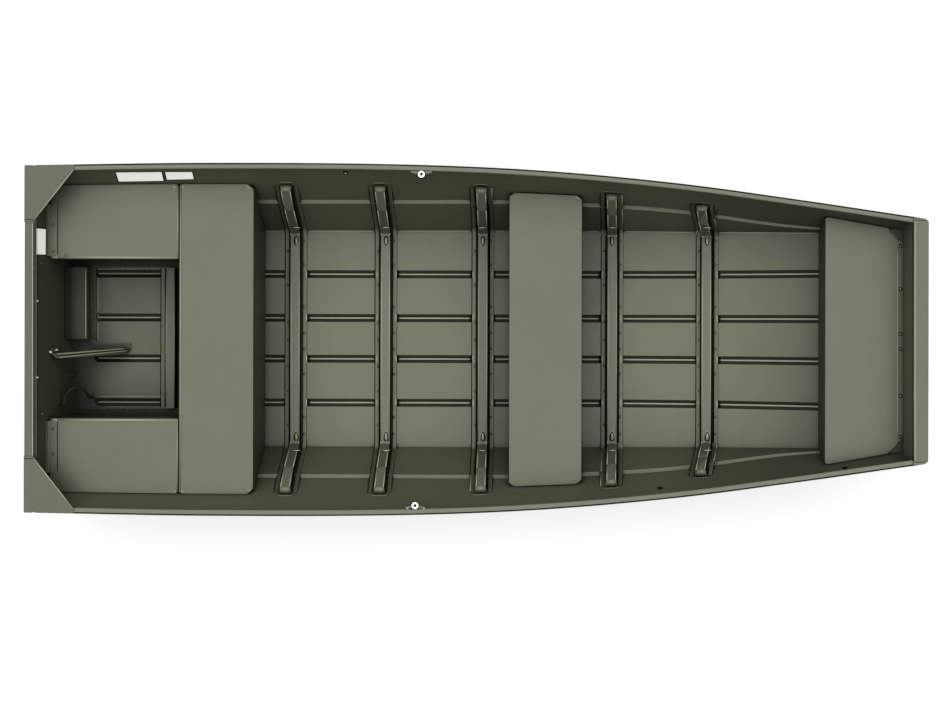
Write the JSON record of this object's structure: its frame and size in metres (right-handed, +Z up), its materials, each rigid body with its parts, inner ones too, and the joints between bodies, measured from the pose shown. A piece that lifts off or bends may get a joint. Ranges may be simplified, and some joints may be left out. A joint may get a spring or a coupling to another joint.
{
  "type": "jon boat",
  "caption": "Flat-bottom welded aluminium jon boat with cross ribs, two benches, a bow deck, corner decks beside a splash well, oarlock sockets and a raked transom.",
  "frame": {"origin": "centreline, mid-length, level with the underside of the floor strakes", "axes": "+X to the bow, +Y to port, +Z up"},
  "size_m": [4.538, 1.7846, 0.6384],
  "materials": {
    "hull_paint": "satin olive-drab paint",
    "rail_paint": "satin olive-drab paint, a little lighter",
    "board_paint": "painted plywood board",
    "bare_metal": "bare cast and turned metal",
    "black_rubber": "matt rubber and plastic"
  },
  "bodies": {
    "root": {"hull_bottom": "hull_paint", "hull_side_port": "hull_paint", "hull_side_starboard": "hull_paint", "gunwale_port": "rail_paint", "gunwale_starboard": "rail_paint", "transom_skin": "hull_paint", "transom_board": "board_paint", "transom_cap": "hull_paint", "transom_pad": "hull_paint", "transom_knee": "hull_paint", "transom_foot_box": "hull_paint", "corner_gusset_port": "rail_paint", "corner_gusset_starboard": "rail_paint", "bow_panel": "hull_paint", "bow_cap": "rail_paint", "bow_eye": "bare_metal", "bow_eye_plate": "bare_metal", "rib_well": "hull_paint", "rib_1": "hull_paint", "rib_2": "hull_paint", "rib_3": "hull_paint", "rib_4": "hull_paint", "rib_5": "hull_paint", "rear_bench": "hull_paint", "rear_bench_rear_panel": "hull_paint", "rear_bench_front_panel": "hull_paint", "mid_bench": "hull_paint", "mid_bench_rear_panel": "hull_paint", "mid_bench_front_panel": "hull_paint", "bow_deck": "hull_paint", "bow_deck_panel": "hull_paint", "corner_deck_port": "hull_paint", "corner_deck_starboard": "hull_paint", "well_wall_port": "hull_paint", "well_wall_starboard": "hull_paint", "deck_strip_port": "hull_paint", "deck_strip_starboard": "hull_paint", "drain_tube": "bare_metal", "drain_plug": "black_rubber", "drain_hose": "black_rubber", "hose_fitting_upper": "black_rubber", "hose_fitting_lower": "black_rubber", "oarlock_base_port": "hull_paint", "oarlock_base_starboard": "hull_paint", "oarlock_bush_port": "bare_metal", "oarlock_bush_starboard": "bare_metal"}
  },
  "joints": []
}
